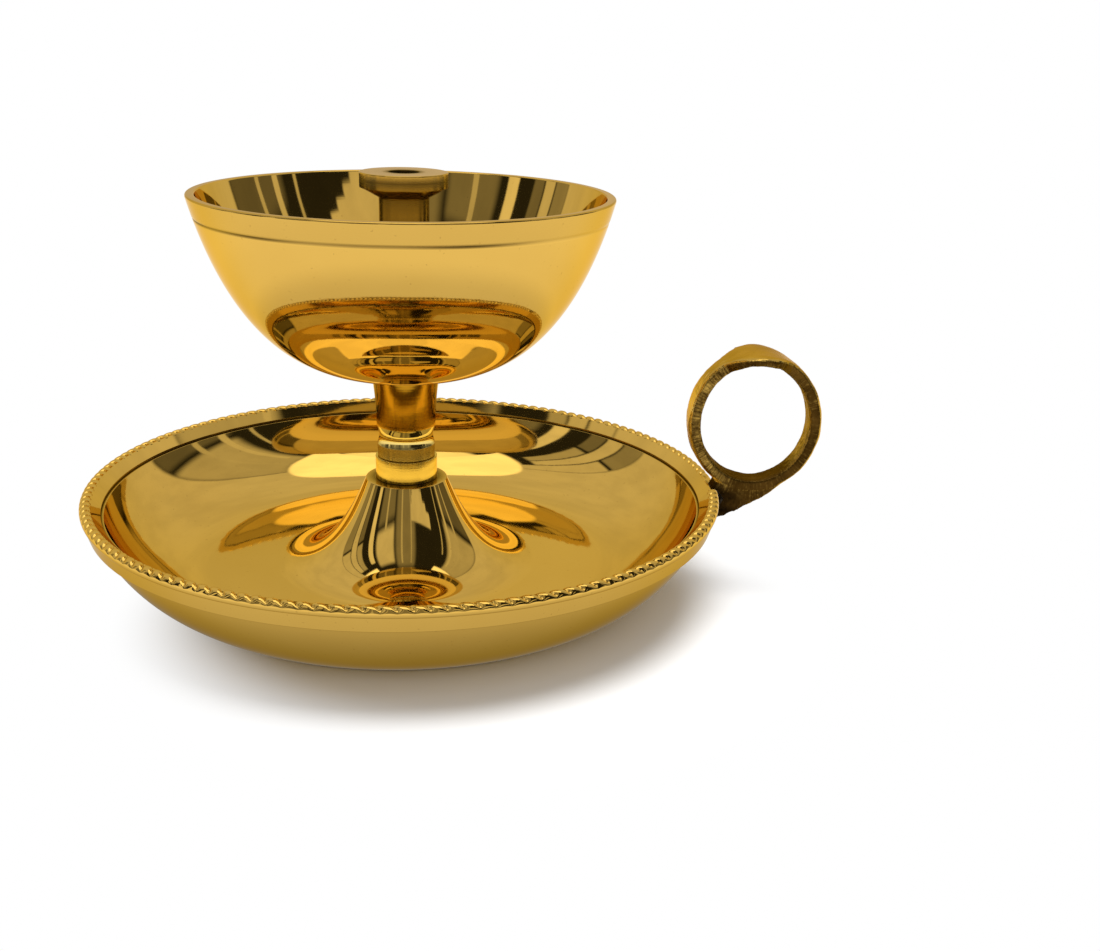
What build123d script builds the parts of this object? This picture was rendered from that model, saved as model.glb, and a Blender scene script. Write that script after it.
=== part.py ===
from build123d import *
import math
import os

# Butter lamp of cast and turned brass: saucer, stem, bowl, wick holder and a finger ring.
# Millimetres, +Z up. The origin is the middle of the flat foot, on the lamp's axis.
# The handle points along +X.

# Saucer
saucer_radius = 49.6  # over the rope rim
saucer_height = 15.2  # foot to the top of the rope rim
foot_radius = 36.4
floor_thickness = 2.0
floor_flat_radius = 30.0  # the dish rises from here
wall_sagitta = 1.55  # bulge of the outer wall
lip_taper = 1.0  # lower edge of the lip inside the rim's outline
lip_overhang = 1.0  # lower edge of the lip past the wall
lip_height = 3.8  # underside of the lip to the rim's top
rope_radius = 0.9  # half the width of the rope rim
rib_pitch = 2.07  # along the rope rim
rib_slant = 30.0  # degrees from square across the rim
groove_radius = 0.5  # between two ribs
groove_depth = 0.35
ledge_inset = 3.0  # rim's outline to the foot of the slope inside it
ledge_drop = 1.9  # below the rim's top
step_width = 0.4  # fine step below the slope, round the dish
step_depth = 0.4

# Trumpet boss in the middle of the saucer, hollow below
boss_radius = 6.35  # shoulder on top
boss_height = 15.8
boss_flare_radius = 21.0  # where the flare runs out on the floor
boss_lean = 3.0  # outward run of the flare's upper tangent
boss_steep = 7.2  # downward run of the flare's upper tangent
boss_runout = 7.5  # length of the flare's lower tangent
boss_roof = 2.5  # thickness over the hollow
hollow_top_radius = 5.4
hollow_mouth_radius = 12.0

# Collar and stem
collar_radius = 4.85
collar_height = 3.6
band_radius = 4.5
band_height = 2.05
cove_height = 3.0
cove_depth = 0.3
column_radius = 4.6  # just above the cove
column_height = 8.45
stem_head_radius = 5.4  # under the bowl
spigot_radius = 2.5  # lower thread, drawn plain
stud_radius = 2.0  # upper thread, drawn plain
stud_grip = 4.2  # length in the wick holder's foot
thread_clearance = 0.05  # radial, between a plain thread and its hole
end_chamfer = 0.4

# Fastening under the boss
washer_radius = 4.9
washer_thickness = 0.8
nut_flats = 8.0
nut_height = 3.2
spigot_overrun = 0.8  # past the nut

# Bowl
bowl_radius = 31.7  # outside, at the rim
bowl_depth = 27.4  # seat on the stem to the rim, outside
bowl_floor = 2.4  # thickness over the seat
bowl_wall = 1.4
bowl_seat_radius = 5.4  # flat under the bowl
bowl_belly_run = 13.7  # level run of the outer curve's lower tangent
bowl_side_drop = 16.9  # height of the outer curve's upper tangent
bowl_side_lean = 14.7  # degrees from upright at the rim
bowl_inner_seat_radius = 5.2  # flat in the bowl for the wick holder
rim_line_drop = 3.3  # fine line below the rim
rim_line_depth = 0.15
rim_line_width = 0.4

# Wick holder
wick_tube_radius = 3.75
wick_hole_radius = 2.3
wick_flange_radius = 6.6
wick_flange_thickness = 2.2
wick_cone_height = 1.5  # underside of the flange
wick_height_over_rim = 3.0
wick_edge_chamfer = 0.25
port_radius = 1.2  # cross holes that let the fuel in
port_above_stud = 1.7  # end of the stud to the port's centre

# Handle: an upright oval ring in the XZ plane that widens into a thumb pad on top
ring_reach = 5.5  # middle of the ring past the rim
ring_rise = 10.4  # middle of the ring above the rim
ring_half_width = 10.3  # outside
ring_half_height = 11.0  # outside
ring_thickness = 1.45
band_width = 4.4
band_corner = 0.4  # rounded edges of the band
pad_thickness = 1.25
pad_length = 10.6  # along the ring
pad_width = 10.4  # across the ring
tang_thickness = 3.8
tang_slope = 31.5  # degrees, lower edge
tang_tip_angle = -66.0  # degrees round the ring where the tang's lower edge leaves it
tang_heel_angle = 238.0  # degrees round the ring where the tang meets it over the rim

# Braze at the root of the handle
braze_reach = 1.6  # outward
braze_half_width = 4.6
braze_half_height = 2.6
braze_drop = 1.2  # its middle below the rim

# Places that follow from the pieces
lip_bottom_radius = saucer_radius - lip_taper
wall_top_radius = lip_bottom_radius - lip_overhang
wall_top_height = saucer_height - lip_height
rope_x = saucer_radius - rope_radius
rope_z = saucer_height - rope_radius
ledge_radius = saucer_radius - ledge_inset
ledge_height = saucer_height - ledge_drop
hollow_top = boss_height - boss_roof
collar_top = boss_height + collar_height
band_top = collar_top + band_height
cove_top = band_top + cove_height
bowl_seat = cove_top + column_height
bowl_rim = bowl_seat + bowl_depth
wick_foot = bowl_seat + bowl_floor
stud_top = wick_foot + stud_grip
wick_top = bowl_rim + wick_height_over_rim
ring_x = saucer_radius + ring_reach
ring_z = saucer_height + ring_rise
nut_top = hollow_top - washer_thickness
spigot_bottom = nut_top - nut_height - spigot_overrun


def turned(profile):
    """Solid of revolution about the lamp's axis from a face in the XZ plane."""
    return revolve(profile, axis=Axis.Z)


def round_hole(radius, bottom, top):
    """Cylinder on the lamp's axis between two heights."""
    return Pos(0, 0, bottom) * Cylinder(radius, top - bottom, align=(Align.CENTER, Align.CENTER, Align.MIN))


def rim_edges():
    """Outside of the saucer from the foot to the inner edge of the rope rim."""
    slope = math.radians(45)
    wall_top = (wall_top_radius, wall_top_height)
    lip_bottom = (lip_bottom_radius, wall_top_height)
    rope_inside = (rope_x - rope_radius * math.sin(slope), rope_z + rope_radius * math.cos(slope))
    wall = SagittaArc((foot_radius, 0), wall_top, -wall_sagitta)
    lip = Polyline(wall_top, lip_bottom, (saucer_radius, rope_z))
    rope = RadiusArc((saucer_radius, rope_z), rope_inside, -rope_radius, short_sagitta=True)
    return [wall, lip, rope], rope_inside


def saucer_envelope():
    """The saucer filled up to its rim, used to trim what is fitted to its outside."""
    outside, rope_inside = rim_edges()
    close = Polyline(rope_inside, (0, rope_inside[1]), (0, 0), (foot_radius, 0))
    return turned(Plane.XZ * make_face(outside + [close]))


def rope_grooves():
    """Round grooves that run aslant over the rim and leave rope-like ribs between them."""
    count = round(2 * math.pi * rope_x / rib_pitch)
    cutter = Rot(0, 0, rib_slant) * Rot(0, 90, 0) * Cylinder(groove_radius, 4 * rope_radius)
    first = Pos(rope_x, 0, saucer_height + groove_radius - groove_depth) * cutter
    return [Rot(0, 0, 360 * number / count) * first for number in range(count)]


def plain_saucer():
    outside, rope_inside = rim_edges()
    hole = spigot_radius + thread_clearance
    ledge = (ledge_radius, ledge_height)
    dish_edge = (ledge_radius - step_width, ledge_height - step_depth)
    floor_edge = (floor_flat_radius, floor_thickness)
    flare_end = (boss_flare_radius, floor_thickness)
    shoulder = (boss_radius, boss_height)
    inside = [
        Polyline(rope_inside, ledge, (ledge_radius, dish_edge[1]), dish_edge),
        TangentArc(floor_edge, dish_edge, tangent=(1, 0)),
        Line(floor_edge, flare_end),
        Bezier(
            shoulder,
            (boss_radius + boss_lean, boss_height - boss_steep),
            (boss_flare_radius - boss_runout, floor_thickness),
            flare_end,
        ),
        Polyline(
            shoulder,
            (hole, boss_height),
            (hole, hollow_top),
            (hollow_top_radius, hollow_top),
            (hollow_mouth_radius, 0),
            (foot_radius, 0),
        ),
    ]
    return turned(Plane.XZ * make_face(outside + inside))


def collar():
    hole = spigot_radius + thread_clearance
    return round_hole(collar_radius, boss_height, collar_top) - round_hole(hole, boss_height, collar_top)


def stem():
    cove_bottom = (band_radius, band_top)
    cove_edge = (column_radius, cove_top)
    head = (stem_head_radius, bowl_seat)
    outline = [
        Polyline(
            (0, spigot_bottom),
            (spigot_radius - end_chamfer, spigot_bottom),
            (spigot_radius, spigot_bottom + end_chamfer),
            (spigot_radius, collar_top),
            (band_radius, collar_top),
            cove_bottom,
        ),
        SagittaArc(cove_bottom, cove_edge, cove_depth),
        TangentArc(cove_edge, head, tangent=(0, 1)),
        Polyline(
            head,
            (stud_radius, bowl_seat),
            (stud_radius, stud_top - end_chamfer),
            (stud_radius - end_chamfer, stud_top),
            (0, stud_top),
            (0, spigot_bottom),
        ),
    ]
    return turned(Plane.XZ * make_face(outline))


def bowl_curve(inset, seat_radius, seat_height):
    """Side of the bowl from its seat to the rim, set in by the wall."""
    lean = math.tan(math.radians(bowl_side_lean))
    rim = (bowl_radius - inset, bowl_rim)
    belly = (seat_radius + bowl_belly_run, seat_height)
    side = (rim[0] - bowl_side_drop * lean, bowl_rim - bowl_side_drop)
    return Bezier((seat_radius, seat_height), belly, side, rim)


def bowl():
    hole = stud_radius + thread_clearance
    outside = bowl_curve(0, bowl_seat_radius, bowl_seat)
    inside = bowl_curve(bowl_wall, bowl_inner_seat_radius, wick_foot)
    bottom = Polyline(outside @ 0, (hole, bowl_seat), (hole, wick_foot), inside @ 0)
    rim = Line(outside @ 1, inside @ 1)
    cup = turned(Plane.XZ * make_face([outside, inside, bottom, rim]))
    line_top = bowl_rim - rim_line_drop
    line_radius = bowl_radius - rim_line_drop * math.tan(math.radians(bowl_side_lean))
    ring = round_hole(line_radius + rim_line_width, line_top - rim_line_width, line_top)
    ring -= round_hole(line_radius - rim_line_depth, line_top - rim_line_width, line_top)
    return cup - ring


def wick_holder():
    stud_hole = stud_radius + thread_clearance
    flange_bottom = wick_top - wick_flange_thickness
    tube_top = flange_bottom - wick_cone_height
    outline = Polyline(
        (wick_hole_radius, wick_top),
        (wick_flange_radius - wick_edge_chamfer, wick_top),
        (wick_flange_radius, wick_top - wick_edge_chamfer),
        (wick_flange_radius, flange_bottom),
        (wick_tube_radius, tube_top),
        (wick_tube_radius, wick_foot),
        (stud_hole, wick_foot),
        (stud_hole, stud_top),
        (wick_hole_radius, stud_top),
        close=True,
    )
    tube = turned(Plane.XZ * make_face(outline))
    port = Pos(0, 0, stud_top + port_above_stud) * Rot(90, 0, 0) * Cylinder(port_radius, 4 * wick_tube_radius)
    return tube - port


def base_washer():
    hole = spigot_radius + thread_clearance
    return round_hole(washer_radius, nut_top, hollow_top) - round_hole(hole, nut_top, hollow_top)


def base_nut():
    hexagon = RegularPolygon(nut_flats / 2, 6, major_radius=False)
    nut = Pos(0, 0, nut_top - nut_height) * extrude(hexagon, nut_height)
    return nut - round_hole(spigot_radius + thread_clearance, nut_top - nut_height, nut_top)


def ring_point(angle):
    """Point on the ring's outer oval, in the XZ plane."""
    turn = math.radians(angle)
    return ring_x + ring_half_width * math.cos(turn), ring_z + ring_half_height * math.sin(turn)


def ring_section(angle):
    """Section of the band at an angle round the ring: wide and thin in the pad, narrow below it."""
    turn = math.radians(angle)
    x, z = ring_point(angle)
    along = Vector(-ring_half_width * math.sin(turn), 0, ring_half_height * math.cos(turn)).normalized()
    outward = Vector(along.Z, 0, -along.X)
    reach = (x - ring_x) / (pad_length / 2)
    share = max(0, 1 - reach**2) if angle > 0 else 0
    width = band_width + (pad_width - band_width) * share
    thickness = ring_thickness + (pad_thickness - ring_thickness) * share
    middle = Vector(x, 0, z) - outward * (thickness / 2)
    return Plane(middle, x_dir=(0, 1, 0), z_dir=along) * RectangleRounded(width, thickness, band_corner)


def ring_half():
    """Half of the ring: the plain band from its foot up, then the crown to the middle of the pad."""
    pad_end = math.degrees(math.acos(pad_length / 2 / ring_half_width))
    band_angles = [-90 + (pad_end + 90) * step / 6 for step in range(7)]
    crown_angles = [pad_end + (90 - pad_end) * step / 5 for step in range(6)]
    band = loft([ring_section(angle) for angle in band_angles])
    return band + loft([ring_section(angle) for angle in crown_angles])


def handle():
    half = ring_half()
    ring = half + mirror(half, about=Plane.YZ.offset(ring_x))
    hole = Ellipse(ring_half_width - ring_thickness, ring_half_height - ring_thickness)
    finger_hole = extrude(Plane.XZ * Pos(ring_x, ring_z) * hole, tang_thickness, both=True)
    tip = ring_point(tang_tip_angle)
    root_x = (foot_radius + wall_top_radius) / 2
    root_z = tip[1] - (tip[0] - root_x) * math.tan(math.radians(tang_slope))
    outline = Polyline(
        tip,
        (root_x, root_z),
        (wall_top_radius, rope_z),
        ring_point(tang_heel_angle),
        close=True,
    )
    tang = extrude(Plane.XZ * make_face(outline), tang_thickness / 2, both=True)
    return ring + (tang - finger_hole - saucer_envelope())


def handle_braze(fitted_saucer, fitted_handle):
    bead = scale(Sphere(1), by=(braze_reach, braze_half_width, braze_half_height))
    return Pos(saucer_radius, 0, saucer_height - braze_drop) * bead - fitted_saucer - fitted_handle


os.makedirs("parts", exist_ok=True)
dish = plain_saucer()
grip = handle()
nodes = {
    "saucer": dish - rope_grooves(),
    "handle": grip,
    "handle_braze": handle_braze(dish, grip),
    "collar": collar(),
    "stem": stem(),
    "bowl": bowl(),
    "wick_holder": wick_holder(),
    "base_washer": base_washer(),
    "base_nut": base_nut(),
}
for name, shape in nodes.items():
    export_step(shape, f"parts/{name}.step")
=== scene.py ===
import bpy
import math
import numpy as np
from mathutils import Matrix, Vector


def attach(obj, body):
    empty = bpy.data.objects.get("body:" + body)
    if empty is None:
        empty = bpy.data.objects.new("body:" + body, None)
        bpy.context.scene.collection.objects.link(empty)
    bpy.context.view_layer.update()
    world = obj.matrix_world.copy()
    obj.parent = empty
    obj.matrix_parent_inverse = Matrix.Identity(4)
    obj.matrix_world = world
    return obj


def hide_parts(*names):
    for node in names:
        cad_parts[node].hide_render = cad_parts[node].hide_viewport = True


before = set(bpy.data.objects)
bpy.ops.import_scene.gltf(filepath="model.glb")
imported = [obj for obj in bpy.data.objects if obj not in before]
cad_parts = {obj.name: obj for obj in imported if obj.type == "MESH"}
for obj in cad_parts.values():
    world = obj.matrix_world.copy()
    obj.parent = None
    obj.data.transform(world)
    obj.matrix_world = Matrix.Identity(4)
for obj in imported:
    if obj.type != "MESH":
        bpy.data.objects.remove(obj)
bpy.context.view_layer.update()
mm = 0.001
print("frame loaded:", ", ".join(sorted(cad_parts)))


# Outlines: runs of points in millimetres, radius first and height second

def straight(start, end, steps=1):
    # evenly spaced points on the straight line between two points
    t = np.linspace(0, 1, steps + 1)[:, None]
    return (1 - t) * np.array(start, float) + t * np.array(end, float)


def path(points, steps):
    # straight runs from point to point
    return [straight(a, b, count) for a, b, count in zip(points, points[1:], steps)]


def bezier(start, leave, arrive, end, steps):
    # cubic curve that leaves towards the second point and arrives from the third
    t = np.linspace(0, 1, steps + 1)[:, None]
    weights = ((1 - t) ** 3, 3 * (1 - t) ** 2 * t, 3 * (1 - t) * t ** 2, t ** 3)
    return sum(w * np.array(p, float) for w, p in zip(weights, (start, leave, arrive, end)))


def bulged(start, end, bulge, steps):
    # circle arc whose middle stands off the chord by the bulge, to the right of the way
    a, b = np.array(start, float), np.array(end, float)
    chord = b - a
    half = np.linalg.norm(chord) / 2
    radius = (half ** 2 + bulge ** 2) / (2 * abs(bulge))
    right = np.array([chord[1], -chord[0]]) / (2 * half) * np.sign(bulge)
    centre = (a + b) / 2 - right * (radius - abs(bulge))
    spread = math.asin(min(1, half / radius))
    t = np.linspace(-spread, spread, steps + 1)[:, None]
    return centre + radius * (np.cos(t) * right + np.sin(t) * chord / (2 * half))


def tangentArc(start, end, steps):
    # circle arc that leaves the start level and ends at the second point
    dx, dz = end[0] - start[0], end[1] - start[1]
    radius = (dx * dx + dz * dz) / (2 * dz)
    turn = 2 * math.atan2(dz, dx)
    t = np.linspace(0, turn, steps + 1)
    return np.stack([start[0] + radius * np.sin(t), start[1] + radius * (1 - np.cos(t))], -1)


def roundedOutline(runs, radii, closed=True, arcSteps=6):
    # runs end to end; the corner after run k becomes an arc of radius radii[k], tangent to both runs
    # points nearer to a corner than its cut are dropped, and so are points that coincide
    tangents = []
    for run in runs:
        step = np.gradient(run, axis=0)
        tangents.append(step / np.linalg.norm(step, axis=1)[:, None])
    count = len(runs)
    turns, cuts = [], []
    for k in range(count):
        d0, d1 = tangents[k][-1], tangents[(k + 1) % count][0]
        turn = math.atan2(d0[0] * d1[1] - d0[1] * d1[0], d0 @ d1)
        joined = closed or k < count - 1
        turns.append(turn)
        cuts.append(radii[k] * abs(math.tan(turn / 2)) if joined else 0)
    points, ways = [], []
    for k, (run, way) in enumerate(zip(runs, tangents)):
        fromStart = np.linalg.norm(run - run[0], axis=1)
        fromEnd = np.linalg.norm(run - run[-1], axis=1)
        keep = (fromStart > cuts[k - 1] * 1.01 + 1e-6) & (fromEnd > cuts[k] * 1.01 + 1e-6)
        points += [run[0] + way[0] * cuts[k - 1], run[keep], run[-1] - way[-1] * cuts[k]]
        ways += [way[0], way[keep], way[-1]]
        if cuts[k] > 0:
            side = np.sign(turns[k])
            t = np.linspace(0, turns[k], arcSteps + 1)[1:-1, None]
            inward = side * np.array([-way[-1][1], way[-1][0]])
            centre = points[-1] + inward * radii[k]
            points.append(centre + radii[k] * (np.sin(t) * side * way[-1] - np.cos(t) * inward))
            ways.append(np.cos(t) * way[-1] + np.sin(t) * side * inward)
    points, ways = np.vstack(points), np.vstack(ways)
    gap = np.linalg.norm(points - np.roll(points, 1, 0), axis=1) > 1e-5
    if not closed:
        gap[0] = True
    return points[gap], ways[gap]


# Meshes

def gridQuads(rows, cols, wrapRows, wrapCols, flip):
    # four corners of each cell between neighbouring rows and columns
    firstRows, firstCols = np.arange(rows - (not wrapRows)), np.arange(cols - (not wrapCols))
    a, b = np.meshgrid(firstRows, firstCols, indexing="ij")
    a2, b2 = (a + 1) % rows, (b + 1) % cols
    ring = [a * cols + b, a2 * cols + b, a2 * cols + b2, a * cols + b2]
    return np.stack(ring[::-1] if flip else ring, -1).reshape(-1, 4)


def makePiece(name, points, faces, normals=None):
    mesh = bpy.data.meshes.new(name)
    mesh.from_pydata(np.asarray(points).tolist(), [], faces)
    mesh.polygons.foreach_set("use_smooth", np.ones(len(mesh.polygons), bool))
    if normals is not None:
        mesh.normals_split_custom_set_from_vertices(np.asarray(normals).tolist())
    mesh.update()
    piece = bpy.data.objects.new(name, mesh)
    bpy.context.scene.collection.objects.link(piece)
    return piece


def readMesh(items, label, width, kind=np.float32):
    values = np.empty(len(items) * width, kind)
    items.foreach_get(label, values)
    return values.reshape(-1, width)


def moveVertices(mesh, points):
    mesh.vertices.foreach_set("co", (points * mm).ravel().astype(np.float32))
    mesh.update()


def keepValues(piece, label, values):
    # one number for each vertex, which the piece's material reads
    layer = piece.data.attributes.new(label, "FLOAT", "POINT")
    layer.data.foreach_set("value", np.ascontiguousarray(values, np.float32).ravel())


def nearSpots(r, z, spots):
    # strongest at each spot of an outline and fading round it: spots are (radius, height, reach, strength)
    total = np.zeros_like(r)
    for spotR, spotZ, reach, strength in spots:
        total = np.maximum(total, strength * np.exp(-((r - spotR) ** 2 + (z - spotZ) ** 2) / reach ** 2))
    return total


def turnedPiece(name, outline, segments, closed=True, grimeAndShade=()):
    # outline swept round the lamp's axis: x = r cos a, y = r sin a, with the outline's own normal swept along
    points, ways = outline
    r, z = points[:, 0], points[:, 1]
    area = np.sum(r * np.roll(z, -1) - np.roll(r, -1) * z)
    side = np.sign(area)
    normal = side * np.stack([ways[:, 1], -ways[:, 0]], -1)
    inner = slice(0, len(r)) if closed else slice(1, -1)
    a = np.arange(segments) * 2 * np.pi / segments
    ca, sa = np.cos(a)[None, :], np.sin(a)[None, :]
    ring = np.stack([r[inner, None] * ca, r[inner, None] * sa, z[inner, None] + 0 * ca], -1)
    ringNormal = np.stack([normal[inner, :1] * ca, normal[inner, :1] * sa, normal[inner, 1:] + 0 * ca], -1)
    rows = ring.shape[0]
    faces = gridQuads(rows, segments, closed, True, side > 0).tolist()
    verts, norms = ring.reshape(-1, 3), ringNormal.reshape(-1, 3)
    if not closed:  # the two ends of the outline close on the axis
        poles = np.array([[0, 0, z[0]], [0, 0, z[-1]]])
        poleNormals = np.array([[0, 0, np.sign(z[0] - z[-1])], [0, 0, np.sign(z[-1] - z[0])]])
        j = np.arange(segments)
        j2 = (j + 1) % segments
        first = np.stack([0 * j + len(verts), j, j2], -1)
        last = np.stack([0 * j + len(verts) + 1, (rows - 1) * segments + j2, (rows - 1) * segments + j], -1)
        fans = np.vstack([first, last])
        faces += (fans[:, ::-1] if side > 0 else fans).tolist()
        verts, norms = np.vstack([verts, poles]), np.vstack([norms, poleNormals])
    piece = makePiece(name, verts * mm, faces, norms)
    if grimeAndShade:
        keepValues(piece, "grimeAndShade", nearSpots(np.hypot(verts[:, 0], verts[:, 1]), verts[:, 2], grimeAndShade))
    return piece


def place(piece, material, body, slotName, *nodes):
    piece.data.materials.clear()
    piece.data.materials.append(material)
    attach(piece, body)
    if nodes:
        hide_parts(*nodes)


def smoothNoise(points, scale, seed, octaves=3, waves=6, fade=1.7):
    # sum of sine waves in fixed random directions, finer and weaker octave by octave
    rng = np.random.default_rng(seed)
    total = np.zeros(len(points))
    for octave in range(octaves):
        for _ in range(waves):
            way = rng.normal(size=3)
            way *= 2 * np.pi / (scale * np.linalg.norm(way)) * 2 ** octave * rng.uniform(0.7, 1.3)
            total += np.sin(points @ way + rng.uniform(0, 2 * np.pi)) / waves / fade ** octave
    return total


def finished(piece):
    # the piece's modifiers become part of its mesh
    view = bpy.context.evaluated_depsgraph_get()
    mesh = bpy.data.meshes.new_from_object(piece.evaluated_get(view))
    piece.modifiers.clear()
    old, piece.data = piece.data, mesh
    bpy.data.meshes.remove(old)
    mesh.name = piece.name


def ramp(value, low, high):
    # 0 at low, 1 at high and smooth between
    t = np.clip((value - low) / (high - low), 0, 1)
    return t * t * (3 - 2 * t)


# Shader nodes

def newGroup(name, inputs, outputs):
    group = bpy.data.node_groups.new(name, "ShaderNodeTree")
    for label, kind, default in inputs:
        socket = group.interface.new_socket(label, in_out="INPUT", socket_type=kind)
        socket.default_value = default
    for label, kind in outputs:
        group.interface.new_socket(label, in_out="OUTPUT", socket_type=kind)
    return group, group.nodes.new("NodeGroupInput"), group.nodes.new("NodeGroupOutput")


def feed(tree, socket, value):
    # a number or a colour is set on the socket itself, a node's output is linked to it
    if isinstance(value, (int, float)):
        socket.default_value = value
    elif isinstance(value, tuple):
        socket.default_value = (*value, 1)
    else:
        tree.links.new(value, socket)


def mathNode(tree, operation, *values):
    node = tree.nodes.new("ShaderNodeMath")
    node.operation = operation
    for socket, value in zip(node.inputs, values):
        feed(tree, socket, value)
    return node.outputs[0]


def times(tree, first, second):
    return mathNode(tree, "MULTIPLY", first, second)


def plus(tree, first, second):
    return mathNode(tree, "ADD", first, second)


def timesPlus(tree, value, factor, added):
    return mathNode(tree, "MULTIPLY_ADD", value, factor, added)


def noiseNode(tree, vector, scale, detail=2.0, rough=0.5):
    node = tree.nodes.new("ShaderNodeTexNoise")
    for label, value in (("Vector", vector), ("Scale", scale), ("Detail", detail), ("Roughness", rough)):
        feed(tree, node.inputs[label], value)
    return node.outputs["Fac"]


def stretch(tree, value, low, high, outLow=0.0, outHigh=1.0):
    node = tree.nodes.new("ShaderNodeMapRange")
    node.interpolation_type = "SMOOTHSTEP"
    labels = ("Value", "From Min", "From Max", "To Min", "To Max")
    for label, number in zip(labels, (value, low, high, outLow, outHigh)):
        feed(tree, node.inputs[label], number)
    return node.outputs["Result"]


def between(tree, value, low, high, soft):
    # 1 from low to high, with soft edges
    rise = stretch(tree, value, low - soft, low + soft)
    return times(tree, rise, stretch(tree, value, high - soft, high + soft, 1.0, 0.0))


def blendColour(tree, mask, first, second):
    # inputs 0, 6 and 7 of a colour mix are its mask and its two colours, and output 2 is the colour
    node = tree.nodes.new("ShaderNodeMix")
    node.data_type = "RGBA"
    for index, value in ((0, mask), (6, first), (7, second)):
        feed(tree, node.inputs[index], value)
    return node.outputs[2]


def vectorOf(tree, *values):
    node = tree.nodes.new("ShaderNodeCombineXYZ")
    for socket, value in zip(node.inputs, values):
        feed(tree, socket, value)
    return node.outputs[0]


def objectPlace(tree):
    return tree.nodes.new("ShaderNodeTexCoord").outputs["Object"]


def pieceValue(tree, label):
    node = tree.nodes.new("ShaderNodeAttribute")
    node.attribute_name = label
    return node.outputs["Fac"]


def groupNode(tree, group, **values):
    node = tree.nodes.new("ShaderNodeGroup")
    node.node_tree = group
    for label, value in values.items():
        node.inputs[label].default_value = value
    return node


# Shared surface effects

def latheLinesGroup(finerBy=4.0, finerShare=0.5, patchScale=60.0):
    # tool marks: noise over radius and height only, so that each mark runs right round the piece
    group, inputs, outputs = newGroup(
        "latheLines", [("Scale", "NodeSocketFloat", 900.0), ("Breaks", "NodeSocketFloat", 0.5)],
        [("Height", "NodeSocketFloat"), ("Fine", "NodeSocketFloat")])
    scale, breaks = inputs.outputs["Scale"], inputs.outputs["Breaks"]
    coord = objectPlace(group)
    parts = group.nodes.new("ShaderNodeSeparateXYZ")
    group.links.new(coord, parts.inputs[0])
    x, y, z = parts.outputs
    radius = mathNode(group, "SQRT", plus(group, times(group, x, x), times(group, y, y)))
    across = vectorOf(group, radius, z, 0.0)
    coarse = noiseNode(group, across, scale, detail=3.0, rough=0.6)
    finer = noiseNode(group, across, times(group, scale, finerBy), rough=0.6)
    patches = stretch(group, noiseNode(group, coord, patchScale), 0.35, 0.65)
    fade = mathNode(group, "SUBTRACT", 1.0, times(group, breaks, patches))
    height = times(group, plus(group, coarse, times(group, finer, finerShare)), fade)
    group.links.new(height, outputs.inputs["Height"])
    group.links.new(finer, outputs.inputs["Fine"])
    return group


def handledGroup(speckBy=40.0):
    # wiping smears and a faint tarnish film in soft patches, and fine specks
    group, inputs, outputs = newGroup(
        "handledFilm", [("Scale", "NodeSocketFloat", 45.0)],
        [("Film", "NodeSocketFloat"), ("Specks", "NodeSocketFloat")])
    scale = inputs.outputs["Scale"]
    coord = objectPlace(group)
    cloud = noiseNode(group, coord, scale, detail=4.0, rough=0.55)
    group.links.new(stretch(group, cloud, 0.35, 0.75), outputs.inputs["Film"])
    dots = noiseNode(group, coord, times(group, scale, speckBy), detail=1.0)
    group.links.new(stretch(group, dots, 0.72, 0.8), outputs.inputs["Specks"])
    return group


latheLines = latheLinesGroup()
handledFilm = handledGroup()


# Materials

def newMaterial(name):
    material = bpy.data.materials.new(name)
    material.use_nodes = True
    tree = material.node_tree
    return material, tree, tree.nodes["Principled BSDF"]


def newMetal(name, edge=(1.0, 1.0, 1.0)):
    # edge is the colour at grazing angles
    material, tree, shader = newMaterial(name)
    shader.inputs["Metallic"].default_value = 1.0
    feed(tree, shader.inputs["Specular Tint"], edge)
    return material, tree, shader


def bumpTo(tree, shader, height, distance):
    bump = tree.nodes.new("ShaderNodeBump")
    bump.inputs["Strength"].default_value = 1.0
    bump.inputs["Distance"].default_value = distance
    tree.links.new(height, bump.inputs["Height"])
    tree.links.new(bump.outputs[0], shader.inputs["Normal"])


def turnedBrass(name, look):
    # polished or satin brass with lathe marks, a thin film, a few specks, and grime and painted shade where
    # the piece says
    material, tree, shader = newMetal(name, look["edge"])
    marks = groupNode(tree, latheLines, Scale=look["markScale"], Breaks=look["breaks"])
    film = groupNode(tree, handledFilm, Scale=look["filmScale"])
    smears, specks = film.outputs["Film"], film.outputs["Specks"]
    grimeAndShade = pieceValue(tree, "grimeAndShade")
    tone = blendColour(tree, times(tree, smears, look["filmAmount"]), look["colour"], look["filmColour"])
    tone = blendColour(tree, times(tree, specks, look["speckAmount"]), tone, look["speckColour"])
    ray = tree.nodes.new("ShaderNodeLightPath")  # in the photo, brass that shows in other brass stays yellow
    tone = blendColour(tree, ray.outputs["Is Glossy Ray"], tone, look["mirrored"])
    # the piece's dark spots: painted shade in joins, steps, bores and grooves, and grime in the bowl's fine
    # line
    tone = blendColour(tree, grimeAndShade, tone, look["shadeAndGrimeColour"])
    tree.links.new(tone, shader.inputs["Base Color"])
    rough = timesPlus(tree, smears, look["roughFilm"], look["rough"])
    rough = timesPlus(tree, marks.outputs["Fine"], look["roughMarks"], rough)
    rough = timesPlus(tree, grimeAndShade, look["roughShadeAndGrime"], rough)
    tree.links.new(rough, shader.inputs["Roughness"])
    # soft waves left by hand polishing
    polishing = noiseNode(tree, objectPlace(tree), look["waveScale"], detail=1.0)
    height = plus(tree, marks.outputs["Height"], times(tree, polishing, look["waves"]))
    bumpTo(tree, shader, height, look["markDepth"])
    return material


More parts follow.
